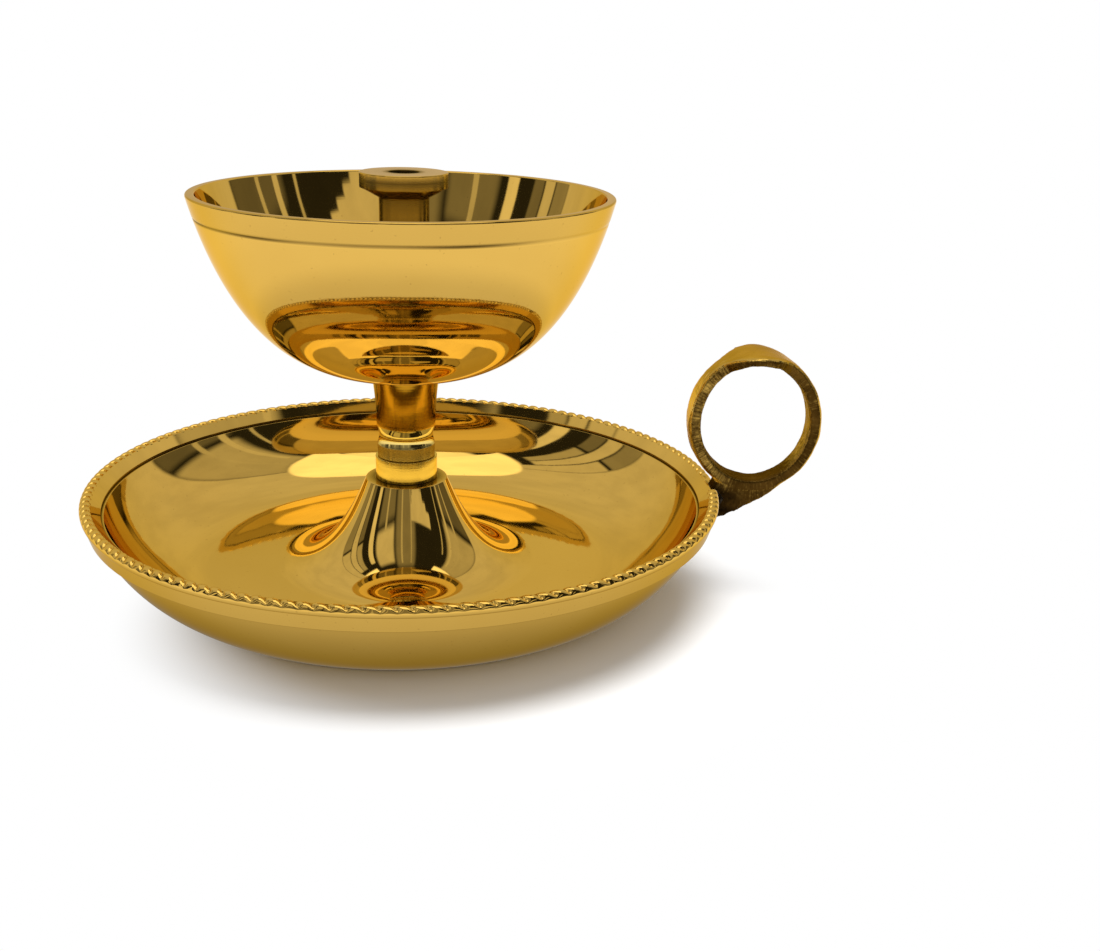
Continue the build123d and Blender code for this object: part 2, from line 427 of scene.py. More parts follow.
polished = dict(colour=(0.87, 0.575, 0.142), edge=(0.93, 0.75, 0.40), mirrored=(0.77, 0.61, 0.26),
                filmColour=(0.79, 0.49, 0.10), filmAmount=0.35, filmScale=45.0,
                speckColour=(0.25, 0.12, 0.02), speckAmount=0.25, shadeAndGrimeColour=(0.022, 0.010, 0.003),
                markScale=900.0, markDepth=0.0000012, breaks=0.6, waves=9.0, waveScale=190.0,
                rough=0.02, roughFilm=0.02, roughMarks=0.03, roughShadeAndGrime=0.35)
# lighter brass on the collar and the stem and darker on the wick holder: painted light and shade, as copies
# of one brass
collarLook = dict(polished, colour=(0.97, 0.74, 0.19), markScale=1500.0, markDepth=0.000003, rough=0.07)
stemLook = dict(polished, colour=(0.98, 0.78, 0.28), markDepth=0.000002, rough=0.035)
wickLook = dict(polished, colour=(0.78, 0.50, 0.11), markScale=1600.0, markDepth=0.000003, rough=0.05)
polishedBrass = turnedBrass("polishedBrass", polished)
collarBrass = turnedBrass("collarBrass", collarLook)
stemBrass = turnedBrass("stemBrass", stemLook)
wickBrass = turnedBrass("wickBrass", wickLook)


def antiqueBrass(look):
    # cast and filed brass: dark film on the cast faces, rubbed bright where worn, and black near the braze,
    # from braze burn and painted shade in the tang's recess
    material, tree, shader = newMetal("antiqueBrass", look["edge"])
    film = groupNode(tree, handledFilm, Scale=look["filmScale"])
    worn, burntAndShaded = pieceValue(tree, "worn"), pieceValue(tree, "burntAndShaded")
    grain = noiseNode(tree, objectPlace(tree), look["grainScale"], detail=4.0, rough=0.6)
    around = times(tree, pieceValue(tree, "around"), look["strokeCount"])
    across = times(tree, pieceValue(tree, "across"), look["strokeBreaks"])
    strokes = noiseNode(tree, vectorOf(tree, around, across, 0.0), 1.0, detail=3.0, rough=0.65)
    rubbed = plus(tree, worn, timesPlus(tree, grain, look["grainShare"], look["rubbedShift"]))
    rubbed = stretch(tree, timesPlus(tree, strokes, look["strokeShare"], rubbed), 0.05, 0.95)
    tone = blendColour(tree, rubbed, look["dark"], look["bright"])
    tone = blendColour(tree, times(tree, film.outputs["Film"], look["stainAmount"]), tone, look["stain"])
    tone = blendColour(tree, burntAndShaded, tone, look["black"])
    tree.links.new(tone, shader.inputs["Base Color"])
    rough = timesPlus(tree, rubbed, look["roughWorn"] - look["roughCast"], look["roughCast"])
    tree.links.new(timesPlus(tree, burntAndShaded, look["roughBurntShaded"], rough), shader.inputs["Roughness"])
    unworn = timesPlus(tree, worn, -look["wornSmooth"], 1.0)
    bumpTo(tree, shader, times(tree, plus(tree, grain, strokes), unworn), look["castDepth"])
    return material


castLook = dict(dark=(0.070, 0.035, 0.006), bright=(0.84, 0.56, 0.14), edge=(0.80, 0.58, 0.28),
                stain=(0.28, 0.15, 0.03), stainAmount=0.4, filmScale=160.0, black=(0.012, 0.007, 0.004),
                grainScale=1400.0, grainShare=0.7, strokeCount=40.0, strokeBreaks=6.0, strokeShare=1.1,
                rubbedShift=-0.93, roughCast=0.48, roughWorn=0.17, roughBurntShaded=0.2,
                castDepth=0.00007, wornSmooth=0.85)
castBrass = antiqueBrass(castLook)


def sootShadeBraze(look):
    # lumps of braze: black with brassy crests; the black is soot and painted shade of the gap at the rim
    material, tree, shader = newMetal("sootShadeBraze")
    lumps = noiseNode(tree, objectPlace(tree), look["lumpScale"], detail=4.0, rough=0.6)
    clean = mathNode(tree, "SUBTRACT", 1.0, pieceValue(tree, "burntAndShaded"))
    crest = times(tree, stretch(tree, lumps, 0.45, 0.7), clean)
    tree.links.new(blendColour(tree, crest, look["black"], look["brass"]), shader.inputs["Base Color"])
    rough = timesPlus(tree, crest, look["roughBrass"] - look["roughBlack"], look["roughBlack"])
    tree.links.new(rough, shader.inputs["Roughness"])
    bumpTo(tree, shader, lumps, look["lumpDepth"])
    return material


blackBraze = sootShadeBraze(dict(black=(0.016, 0.009, 0.004), brass=(0.55, 0.31, 0.06), lumpScale=900.0,
                             lumpDepth=0.0002, roughBlack=0.62, roughBrass=0.32))


def plainSteel(look):
    # zinc-grey steel with grain marks and a light rust bloom
    material, tree, shader = newMetal("plainSteel")
    marks = groupNode(tree, latheLines, Scale=look["markScale"], Breaks=look["breaks"])
    bloom = groupNode(tree, handledFilm, Scale=look["filmScale"]).outputs["Film"]
    tone = blendColour(tree, times(tree, bloom, look["bloomAmount"]), look["colour"], look["bloomColour"])
    tree.links.new(tone, shader.inputs["Base Color"])
    tree.links.new(timesPlus(tree, bloom, look["roughBloom"], look["rough"]), shader.inputs["Roughness"])
    bumpTo(tree, shader, marks.outputs["Height"], look["markDepth"])
    return material


fixingSteel = plainSteel(dict(colour=(0.42, 0.42, 0.43), bloomColour=(0.26, 0.20, 0.15), bloomAmount=0.45,
                              filmScale=220.0, markScale=2400.0, markDepth=0.000008, breaks=0.4,
                              rough=0.28, roughBloom=0.2))
print("materials ready")


# Saucer

# the saucer's spots (radius, height, reach, strength) are painted shade: a dark line in the step under the
# rope, under the lip, in the hollow under the boss, round the collar on the boss top and where the foot meets
# the floor
saucer = dict(radius=49.6, height=15.2, foot=36.4, floor=2.0, flat=30.0, wallTop=47.6, wallBulge=1.55,
              lipBottom=48.6, lip=3.8, bead=0.9, beadInside=0.4, ropeCover=0.06, crestRun=0.65,
              crestRise=0.56, ledge=46.6, ledgeDrop=1.9, step=0.4, bossRadius=6.35, bossHeight=15.8,
              flare=21.0, lean=3.0, steep=7.2, runout=7.5, hole=2.55, hollowTop=13.3, hollowRadius=5.4,
              mouth=12.0, segments=420,
              grimeAndShade=[(46.55, 12.93, 0.2, 1.0), (47.7, 11.4, 0.35, 0.75), (2.6, 13.3, 0.8, 0.6),
                     (5.3, 15.8, 0.75, 0.8), (36.5, 0.0, 0.3, 0.7)])


def saucerOutline(s):
    # foot, bulged wall, lip, crest under the rope, ledge, step, dish arc, floor, trumpet flare, shoulder
    # and hollow, in that order
    lipZ, beadZ = s["height"] - s["lip"], s["height"] - s["bead"]
    beadX = s["radius"] - s["bead"]
    ledgeZ = s["height"] - s["ledgeDrop"]
    mouth, foot, wallTop = (s["mouth"], 0), (s["foot"], 0), (s["wallTop"], lipZ)
    lip = [wallTop, (s["lipBottom"], lipZ), (s["radius"] - s["ropeCover"], beadZ)]
    crest = [(beadX, beadZ + s["beadInside"]), (beadX - s["crestRun"], beadZ + s["crestRise"])]
    dish = (s["ledge"] - s["step"], ledgeZ - s["step"])
    ledge = [(s["ledge"], ledgeZ), (s["ledge"], dish[1]), dish]
    flat, flare = (s["flat"], s["floor"]), (s["flare"], s["floor"])
    shoulder = (s["bossRadius"], s["bossHeight"])
    hollow = [(s["hole"], s["bossHeight"]), (s["hole"], s["hollowTop"]), (s["hollowRadius"], s["hollowTop"])]
    runs = path([mouth, foot], [4])
    runs += [bulged(foot, wallTop, s["wallBulge"], 28)]
    runs += path(lip + crest + ledge, [1, 4, 1, 1, 3, 1, 1])
    runs += [tangentArc(flat, dish, 40)[::-1]]
    runs += path([flat, flare], [6])
    runs += [bezier(flare, (s["flare"] - s["runout"], s["floor"]),
                    (s["bossRadius"] + s["lean"], s["bossHeight"] - s["steep"]), shoulder, 44)]
    runs += path([shoulder] + hollow + [mouth], [3, 1, 1, 4])
    radii = [0.5, 0.15, 0.2, 0.1, 0.1, 0.1, 0.06, 0.05, 0.06, 0, 0, 0.25, 0.1, 0.1, 0.3, 0.3]
    return roundedOutline(runs, radii)


saucerPiece = turnedPiece("saucerDish", saucerOutline(saucer), saucer["segments"], grimeAndShade=saucer["grimeAndShade"])
place(saucerPiece, polishedBrass, "base", "polished_brass", "saucer")

# notch and melted are sideways distances from the handle's root
rope = dict(ribs=148, depth=0.42, outerFrom=5, outerTo=55, slant=0.577, ribFlat=2.6, ribFull=0.75, perRib=12,
            shownFrom=-40, shownTo=165, shownRows=31, hiddenRows=7, notch=(-1.7, 1.3),
            notchEdges=(0.35, 0.5), notchDepth=0.55, notchLumps=0.15, melted=6.5, meltEdges=(0.6, 1.5),
            meltDepth=0.22, meltFull=0.7, meltGrime=0.5, deepest=0.75, grooveShade=0.5)


def ropeRim(s, p):
    # bead round the rim that dips into a groove between ribs; a rib leans forward as it goes outward
    shownFrom, shownTo = math.radians(p["shownFrom"]), math.radians(p["shownTo"])
    shown = np.linspace(shownFrom, shownTo, p["shownRows"])
    hidden = np.linspace(shownTo, math.radians(p["shownFrom"] + 360), p["hiddenRows"] + 2)[1:-1]
    across = np.concatenate([shown, hidden])[:, None]
    count = p["ribs"] * p["perRib"]
    along = (np.arange(count) * 2 * np.pi / count)[None, :]
    middle = s["radius"] - s["bead"]
    pitch = 2 * np.pi * middle / p["ribs"]
    share = ((middle * along - p["slant"] * s["bead"] * np.cos(across)) / pitch) % 1
    rib = np.clip(1 - np.abs(2 * share - 1) ** p["ribFlat"], 0, 1) ** p["ribFull"]
    top = ramp(across, math.radians(p["outerFrom"]), math.radians(p["outerTo"])) * (across < math.pi)
    spot = middle * np.sin(along)  # sideways distance from the handle's root
    atRoot = np.cos(along) > 0
    low, high = p["notch"]
    lowEdge, highEdge = p["notchEdges"]
    meltEdge, endEdge = p["meltEdges"]
    pastNotch = ramp(spot, high - highEdge, high + highEdge)
    burntAndShaded = ramp(spot, low - lowEdge, low + lowEdge) * (1 - pastNotch) * atRoot + 0 * across
    pastMelt = ramp(spot, p["melted"] - endEdge, p["melted"])
    melt = ramp(spot, high - meltEdge, high + meltEdge) * (1 - pastMelt) * atRoot
    flat = 0 * across + 0 * along
    spots = np.stack([4 * spot + flat, 9 * across + flat, flat], -1).reshape(-1, 3)
    lumps = smoothNoise(spots, 9.0, seed=5, octaves=2).reshape(share.shape)
    dip = p["depth"] * top * (1 - rib) * (1 - melt)
    dip = dip + p["meltDepth"] * melt * (p["meltFull"] + lumps) * top
    dip = dip + burntAndShaded * (p["notchDepth"] + p["notchLumps"] * lumps) * top
    radius = s["bead"] - np.clip(dip, 0, p["deepest"])
    r = middle + radius * np.cos(across)
    z = s["height"] - s["bead"] + radius * np.sin(across)
    grid = np.stack([r * np.cos(along), r * np.sin(along), z], -1)
    piece = makePiece("ropeRim", grid.reshape(-1, 3) * mm, gridQuads(*r.shape, True, True, True).tolist())
    # painted shade in the grooves between ribs and in the notch, and soot on the melted braze
    groove = ramp(1 - rib, 0.45, 1.0) * top * (1 - melt) * p["grooveShade"]
    sootAndShade = np.maximum(groove, burntAndShaded) + p["meltGrime"] * melt * ramp(lumps, 0.1, 0.5)
    keepValues(piece, "grimeAndShade", np.clip(sootAndShade, 0, 1))
    return piece


ropePiece = ropeRim(saucer, rope)
place(ropePiece, polishedBrass, "base", "polished_brass")
print("saucer and rope rim made")


# Collar and stem

# the stem's and the collar's spots are painted shade: where the collar meets the boss and the band, on the
# band under the cove and where the head meets the bowl
stem = dict(collarRadius=4.85, collarBottom=15.8, collarTop=19.4, band=4.5, bandTop=21.45, cove=0.3,
            coveTop=24.45, column=4.6, flareHollow=0.2, seat=32.9, head=5.4, spigot=2.5, spigotPlay=0.05,
            spigotBottom=8.5, stud=2.0, studTop=39.5, chamfer=0.4, segments=240,
            grimeAndShade=[(4.5, 21.6, 0.3, 0.5), (4.5, 20.4, 0.8, 0.4), (4.5, 19.4, 0.12, 0.8),
                   (5.4, 32.9, 0.25, 0.6)],
            collarShade=[(4.85, 15.8, 0.14, 0.8), (4.85, 19.4, 0.1, 0.5)])


def collarOutline(s):
    hole = s["spigot"] + s["spigotPlay"]
    low, high, radius = s["collarBottom"], s["collarTop"], s["collarRadius"]
    corners = [(hole, low), (radius, low), (radius, high), (hole, high), (hole, low)]
    return roundedOutline(path(corners, [3] * 4), [0.12, 0.12, 0.05, 0.05])


def stemOutline(s):
    # spigot, band, hollow cove, column that flares into the head, and the stud above it
    c = s["chamfer"]
    foot, seat, top = s["spigotBottom"], s["seat"], s["studTop"]
    band, column, head = (s["band"], s["bandTop"]), (s["column"], s["coveTop"]), (s["head"], seat)
    spigot = [(0, foot), (s["spigot"] - c, foot), (s["spigot"], foot + c), (s["spigot"], s["collarTop"])]
    stud = [(s["stud"], seat), (s["stud"], top - c), (s["stud"] - c, top), (0, top)]
    runs = path(spigot + [(s["band"], s["collarTop"]), band], [1, 1, 4, 1, 3])
    runs += [bulged(band, column, -s["cove"], 14), bulged(column, head, -s["flareHollow"], 24)]
    runs += path([head] + stud, [1, 3, 1, 1])
    radii = [0.08, 0.08, 0.05, 0.12, 0.08, 0.1, 0.08, 0.05, 0.08, 0.08, 0]
    return roundedOutline(runs, radii, closed=False)


collarPiece = turnedPiece("stemCollar", collarOutline(stem), stem["segments"], grimeAndShade=stem["collarShade"])
place(collarPiece, collarBrass, "base", "turned_brass", "collar")
stemPiece = turnedPiece("stemColumn", stemOutline(stem), stem["segments"], closed=False, grimeAndShade=stem["grimeAndShade"])
place(stemPiece, stemBrass, "base", "polished_brass", "stem")
print("stem made")


# Bowl

# lineFade is the azimuth in degrees over which the dark of the fine line fades, 0 towards the camera
bowl = dict(radius=31.7, seat=32.9, rim=60.3, floor=2.4, wall=1.4, seatRadius=5.4, innerSeat=5.2,
            bellyRun=13.7, sideDrop=16.9, lean=14.7, hole=2.05, lineDrop=3.3, lineDepth=0.13, lineWidth=0.24,
            lineFade=(15, 60), lineFaded=0.8, lineDark=0.8, linePatches=0.5, patchSize=22.0, satin=0.13,
            outerSteps=260, innerSteps=80, segments=264)


def bowlOutline(s):
    # cubic side from the seat to the rim, outside and again inside the wall, with a fine groove under the rim
    lean = math.tan(math.radians(s["lean"]))

    def side(inset, seatRadius, seatZ, steps):
        rim = (s["radius"] - inset, s["rim"])
        return bezier((seatRadius, seatZ), (seatRadius + s["bellyRun"], seatZ),
                      (rim[0] - s["sideDrop"] * lean, s["rim"] - s["sideDrop"]), rim, steps)

    inside = s["seat"] + s["floor"]
    outer = side(0, s["seatRadius"], s["seat"], s["outerSteps"])
    drop = (s["rim"] - s["lineDrop"] - outer[:, 1]) / s["lineWidth"]
    outer[:, 0] -= s["lineDepth"] * np.exp(-4 * drop ** 2)
    inner = side(s["wall"], s["innerSeat"], inside, s["innerSteps"])[::-1]
    runs = [
        straight((s["hole"], s["seat"]), (s["seatRadius"], s["seat"]), 2),
        outer,
        straight(outer[-1], inner[0]),
        inner,
        straight(inner[-1], (s["hole"], inside), 2),
        straight((s["hole"], inside), (s["hole"], s["seat"])),
    ]
    return roundedOutline(runs, [0, 0.28, 0.28, 0, 0.1, 0.1])


def bowlGrime(piece, s):
    # dark in the fine line, and a slight film on the satin band between it and the rim
    x, y, z = readMesh(piece.data.vertices, "co", 3).T.astype(float) / mm
    out = np.hypot(x, y) - (s["radius"] - (s["rim"] - z) * math.tan(math.radians(s["lean"])))
    drop = (s["rim"] - s["lineDrop"] - z) / s["lineWidth"]
    turn = np.degrees(np.arctan2(x, -y))
    level = np.stack([x, y, 0 * z], -1)
    patches = s["lineDark"] + s["linePatches"] * smoothNoise(level, s["patchSize"], seed=31, octaves=2)
    patchy = (1 - s["lineFaded"] * ramp(turn, *s["lineFade"])) * patches
    dark = patchy * np.exp(-2 * drop ** 2) + s["satin"] * ramp(-drop, 0, 1)
    keepValues(piece, "grimeAndShade", np.clip(dark * ramp(out, -1.0, -0.4), 0, 1))


bowlPiece = turnedPiece("butterBowl", bowlOutline(bowl), bowl["segments"])
bowlGrime(bowlPiece, bowl)
place(bowlPiece, polishedBrass, "bowl", "polished_brass", "bowl")
print("bowl made")


# Wick holder

# the spots in the list are painted shade and dark reflection: at the mouth and down the bore, under the
# flange, on the flange's side and down the tube
wick = dict(tube=3.75, hole=2.3, studHole=2.05, studTop=39.5, foot=35.3, top=63.3, flange=6.6,
            flangeThick=2.2, cone=1.5, port=1.2, portZ=41.2, portSteps=48, drillReach=6, segments=240,
            grimeAndShade=[(2.3, 63.3, 0.35, 0.9), (2.3, 60.0, 3.0, 0.8), (3.75, 59.6, 0.3, 0.5),
                   (6.75, 62.0, 0.9, 0.75), (3.9, 55.0, 4.0, 0.6)])


def wickOutline(s):
    flangeZ = s["top"] - s["flangeThick"]
    stud = [(s["hole"], s["studTop"]), (s["studHole"], s["studTop"]), (s["studHole"], s["foot"])]
    tube = [(s["tube"], s["foot"]), (s["tube"], flangeZ - s["cone"])]
    flange = [(s["flange"], flangeZ), (s["flange"], s["top"]), (s["hole"], s["top"])]
    runs = path(stud + tube + flange + stud[:1], [1, 2, 1, 10, 3, 2, 4, 10])
    return roundedOutline(runs, [0.05, 0.05, 0.1, 0.25, 0.12, 0.16, 0.12, 0.05])


def cutPorts(piece, s):
    # cross holes through the tube, along the Y axis
    count, reach = s["portSteps"], s["drillReach"]
    a = np.arange(count) * 2 * np.pi / count
    loop = np.stack([s["port"] * np.cos(a), 0 * a, s["portZ"] + s["port"] * np.sin(a)], -1)
    ends = np.vstack([loop - (0, reach, 0), loop + (0, reach, 0)])
    caps = [list(range(count)), list(range(2 * count - 1, count - 1, -1))]
    drill = makePiece("portDrill", ends * mm, gridQuads(2, count, False, True, False).tolist() + caps)
    cut = piece.modifiers.new("ports", "BOOLEAN")
    cut.operation, cut.solver, cut.object = "DIFFERENCE", "EXACT", drill
    finished(piece)
    bpy.data.objects.remove(drill)
    piece.data.set_sharp_from_angle(angle=math.radians(40))


wickPiece = turnedPiece("wickHolder", wickOutline(wick), wick["segments"], grimeAndShade=wick["grimeAndShade"])
cutPorts(wickPiece, wick)
place(wickPiece, wickBrass, "wick_holder", "turned_brass", "wick_holder")
print("wick holder made")


# Fastening under the boss

fixing = dict(hole=2.55, washer=4.9, washerTop=13.3, washerThick=0.8, washerSegments=160, flats=8.0,
              nutHeight=3.2, nutSegments=240, bevel=0.4, faceShare=0.97, coneRun=1.75, coneFrom=0.05,
              coneTo=0.42, cornerFrom=0.6, pastCorners=9.0)


def washerOutline(f):
    low, high = f["washerTop"] - f["washerThick"], f["washerTop"]
    corners = [(f["hole"], low), (f["washer"], low), (f["washer"], high), (f["hole"], high), (f["hole"], low)]
    return roundedOutline(path(corners, [2] * 4), [0.15, 0.1, 0.05, 0.1])


def hexNut(f):
    # six-sided outline r = half the flats / cos(angle from the flat's middle), cut by a cone at each end
    a = np.arange(f["nutSegments"]) * 2 * np.pi / f["nutSegments"]
    half = f["flats"] / 2
    side = half / np.cos((a % (math.pi / 3)) - math.pi / 6)
    top = f["washerTop"] - f["washerThick"]
    low = top - f["nutHeight"]
    face = half * f["faceShare"]
    end = [(f["hole"], f["bevel"]), (f["hole"] + f["bevel"], 0), (face, 0)]
    end += [(face + f["coneRun"] * rise, rise) for rise in np.linspace(f["coneFrom"], f["coneTo"], 6)]
    end += [(f["pastCorners"], f["cornerFrom"])]
    rows = np.array([(r, low + rise) for r, rise in end] + [(r, top - rise) for r, rise in end[::-1]])
    r = np.minimum(rows[:, :1], side[None, :])
    grid = np.stack([r * np.cos(a), r * np.sin(a), rows[:, 1:] + 0 * r], -1)
    piece = makePiece("baseNut", grid.reshape(-1, 3) * mm, gridQuads(*r.shape, True, True, True).tolist())
    piece.data.set_sharp_from_angle(angle=math.radians(25))
    return piece


washerPiece = turnedPiece("baseWasher", washerOutline(fixing), fixing["washerSegments"])
place(washerPiece, fixingSteel, "base", "steel", "base_washer")
nutPiece = hexNut(fixing)
place(nutPiece, fixingSteel, "base", "steel", "base_nut")
print("fastening made")


# Handle

# the bites are how far the tang goes into the wall, the lip, the rim and the ring; spans and heights are
# where along X and Z a mark begins and is full
handle = dict(x=54.85, z=25.95, halfWidth=10.5, halfHeight=11.35, band=4.5, thick=2.0, padWidth=10.8,
              padLength=11.0, padThick=1.5, squareness=0.35, ringSteps=360, sectionSteps=48,
              tangHalf=2.15, tipAngle=-45.0, heelAngle=-124.0, tangFoot=(43.0, 6.2), sag=1.3,
              wallBite=0.6, lipBite=0.5, lipStep=0.3, rimBite=1.2, ringBite=0.3, riseFlat=8, outFlat=14,
              wallSteps=30, lipSteps=28, tangSteps=80, voxel=0.16, smoothing=4, dent=0.11, dentSize=5.0,
              pit=0.035, pitSize=1.3, inset=0.03, padSmooth=0.8, lump=0.16, lumpSize=1.6, ragged=0.2,
              raggedSize=1.9, edgeRoom=0.04, insideWear=0.05, rightWear=0.42, edgeWear=0.5, faceWear=0.10,
              leftWear=0.30, heelWear=0.55, tangDark=0.6, lumpHeights=(16.5, 13.0),
              heelSpan=(53.0, 56.5), burntShadedSpan=(55.5, 51.0), burntShadedHeights=(17.0, 15.0))


def ringGrid(h):
    # rounded-oblong section carried round an oval; its width swells into the pad on top
    a = (np.arange(h["ringSteps"]) * 2 * np.pi / h["ringSteps"])[:, None]
    b = (np.arange(h["sectionSteps"]) * 2 * np.pi / h["sectionSteps"])[None, :]
    x, z = h["halfWidth"] * np.cos(a), h["halfHeight"] * np.sin(a)
    out = np.stack([h["halfHeight"] * np.cos(a), h["halfWidth"] * np.sin(a)], -1)
    out /= np.linalg.norm(out, axis=-1)[..., None]
    share = np.clip(1 - (x / (h["padLength"] / 2)) ** 2, 0, 1) * (np.sin(a) > 0)
    wide = h["band"] + (h["padWidth"] - h["band"]) * share
    thick = h["thick"] + (h["padThick"] - h["thick"]) * share
    y = wide / 2 * np.sign(np.cos(b)) * np.abs(np.cos(b)) ** h["squareness"]
    lift = thick / 2 * (np.sign(np.sin(b)) * np.abs(np.sin(b)) ** h["squareness"] - 1)
    grid = np.stack([h["x"] + x + lift * out[..., 0], y, h["z"] + z + lift * out[..., 1]], -1)
    return grid.reshape(-1, 3), gridQuads(h["ringSteps"], h["sectionSteps"], True, True, False)


def tangGrid(h, s):
    # pillow between the saucer's outside and the ring's foot: both faces meet along its border
    lipZ = s["height"] - s["lip"]
    wallRoot = straight(h["tangFoot"], (s["wallTop"] - h["wallBite"], lipZ), h["wallSteps"])
    lipRoot = straight((s["wallTop"] - h["lipBite"], lipZ + h["lipStep"]),
                       (s["radius"] - h["rimBite"], s["height"] - s["bead"]), h["lipSteps"])
    root = np.vstack([wallRoot, lipRoot])
    rows, cols = len(root), h["tangSteps"]
    rise = np.linspace(0, 1, rows)[:, None]
    out = np.linspace(0, 1, cols)[None, :]
    turn = np.radians(np.linspace(h["tipAngle"], h["heelAngle"], rows))
    ringX = h["x"] + (h["halfWidth"] - h["ringBite"]) * np.cos(turn)
    ringZ = h["z"] + (h["halfHeight"] - h["ringBite"]) * np.sin(turn)
    sag = h["sag"] * np.sin(np.pi * out ** 2) * (1 - rise) ** 3
    x = (1 - out) * root[:, :1] + out * ringX[:, None]
    z = (1 - out) * root[:, 1:] + out * ringZ[:, None] - sag
    riseFull = (1 - np.abs(2 * rise - 1) ** h["riseFlat"]) ** h["squareness"]
    outFull = (1 - np.abs(2 * out - 1) ** h["outFlat"]) ** h["squareness"]
    half = h["tangHalf"] * (riseFull * outFull)
    front = np.stack([x, -half, z], -1).reshape(-1, 3)
    back = np.stack([x, half, z], -1).reshape(-1, 3)
    quads = gridQuads(rows, cols, False, False, False)
    return np.vstack([front, back]), np.vstack([quads, quads[:, ::-1] + len(front)])


def neighbourMean(mesh):
    # function that gives each vertex the mean of its neighbours' values
    ends = readMesh(mesh.edges, "vertices", 2, np.int32)
    both = np.concatenate([ends, ends[:, ::-1]])
    count = len(mesh.vertices)
    links = np.bincount(both[:, 0], minlength=count)[:, None]

    def mean(values):
        sums = [np.bincount(both[:, 0], column[both[:, 1]], count) for column in values.T]
        return np.stack(sums, -1) / links

    return mean


def handleSkin(h, s):
    # ring and tang made one skin
    ringPoints, ringFaces = ringGrid(h)
    tangPoints, tangFaces = tangGrid(h, s)
    points = np.vstack([ringPoints, tangPoints])
    faces = ringFaces.tolist() + (tangFaces + len(ringPoints)).tolist()
    piece = makePiece("fingerRing", points * mm, faces)
    skin = piece.modifiers.new("skin", "REMESH")
    skin.mode, skin.voxel_size = "VOXEL", h["voxel"] * mm
    finished(piece)
    return piece


def castHandle(h, s):
    # the skin smoothed, dented and marked for wear, braze burn and painted shade on the tang: most ramps go
    # by the way the surface faces, and those of reach by the share of the ring's radius
    piece = handleSkin(h, s)
    mesh = piece.data
    p = readMesh(mesh.vertices, "co", 3).astype(float) / mm
    mean = neighbourMean(mesh)
    for _ in range(h["smoothing"]):
        p += 0.5 * (mean(p) - p)
    moveVertices(mesh, p)
    n = readMesh(mesh.vertices, "normal", 3).astype(float)
    x, z = (p[:, 0] - h["x"]) / h["halfWidth"], (p[:, 2] - h["z"]) / h["halfHeight"]
    turn, reach = np.arctan2(z, x), np.hypot(x, z)
    outer, face = n[:, 0] * np.cos(turn) + n[:, 2] * np.sin(turn), np.abs(n[:, 1])
    pad = ramp(np.sin(turn), 0.86, 0.95) * ramp(outer, 0.3, 0.7)
    inTang = ramp(reach, 1.02, 1.1)
    dents = h["dent"] * smoothNoise(p, h["dentSize"], seed=3, octaves=2) - h["inset"]
    pits = h["pit"] * smoothNoise(p, h["pitSize"], seed=4, octaves=2)
    lumps = h["lump"] * smoothNoise(p, h["lumpSize"], seed=8) * inTang * ramp(p[:, 2], *h["lumpHeights"])
    ragged = h["ragged"] * smoothNoise(p, h["raggedSize"], seed=21) * face * ramp(np.sin(turn), 0.55, 0.85)
    crisp = np.sum((p - mean(p)) * n, 1)
    p += n * ((dents + pits) * (1 - h["padSmooth"] * pad) + lumps + ragged)[:, None]
    p[:, 0] = np.minimum(p[:, 0], h["x"] + h["halfWidth"] + h["edgeRoom"])
    mesh.polygons.foreach_set("use_smooth", np.ones(len(mesh.polygons), bool))
    moveVertices(mesh, p)
    right = np.cos(turn)
    outside = ramp(outer, 0.25, 0.75) * (1 - inTang)
    inside = (h["insideWear"] + h["rightWear"] * ramp(right, 0.45, 0.9)) * ramp(-outer, 0.4, 0.8)
    edges = h["edgeWear"] * ramp(crisp, 0.004, 0.02)
    patches = 0.9 + 0.5 * smoothNoise(p, 3.0, seed=17, octaves=2)
    filed = face * (h["faceWear"] + h["leftWear"] * ramp(-right, 0.1, 0.7)) * patches
    heel = h["heelWear"] * inTang * ramp(-n[:, 2], 0.3, 0.8) * ramp(p[:, 0], *h["heelSpan"])
    # the tang is kept darker than the ring: its burnt film and painted shade of its recess
    worn = (outside + inside + edges + filed) * (1 - h["tangDark"] * inTang) + heel
    # black at the tang's root by the braze: braze burn and painted shade
    burntAndShaded = ramp(p[:, 0], *h["burntShadedSpan"]) * ramp(reach, 0.98, 1.10) * ramp(p[:, 2], *h["burntShadedHeights"])
    sootAndShade = 0.75 + 0.3 * smoothNoise(p, 2.0, seed=6, octaves=2)
    keepValues(piece, "worn", np.clip(worn, 0, 1))
    keepValues(piece, "burntAndShaded", np.clip(burntAndShaded * sootAndShade, 0, 1))
    keepValues(piece, "around", turn)
    keepValues(piece, "across", p[:, 1])
    return piece


handlePiece = castHandle(handle, saucer)
handlePiece.visible_glossy = False  # the photo's bowl and saucer do not show it
place(handlePiece, castBrass, "base", "cast_brass", "handle")

braze = dict(middle=(49.55, 0.6, 13.55), half=(1.45, 3.9, 2.0), full=0.9, lump=0.16, lumpSize=2.2,
             cleanSpan=(1.0, 3.0), cleanest=0.8, rows=58, columns=90)


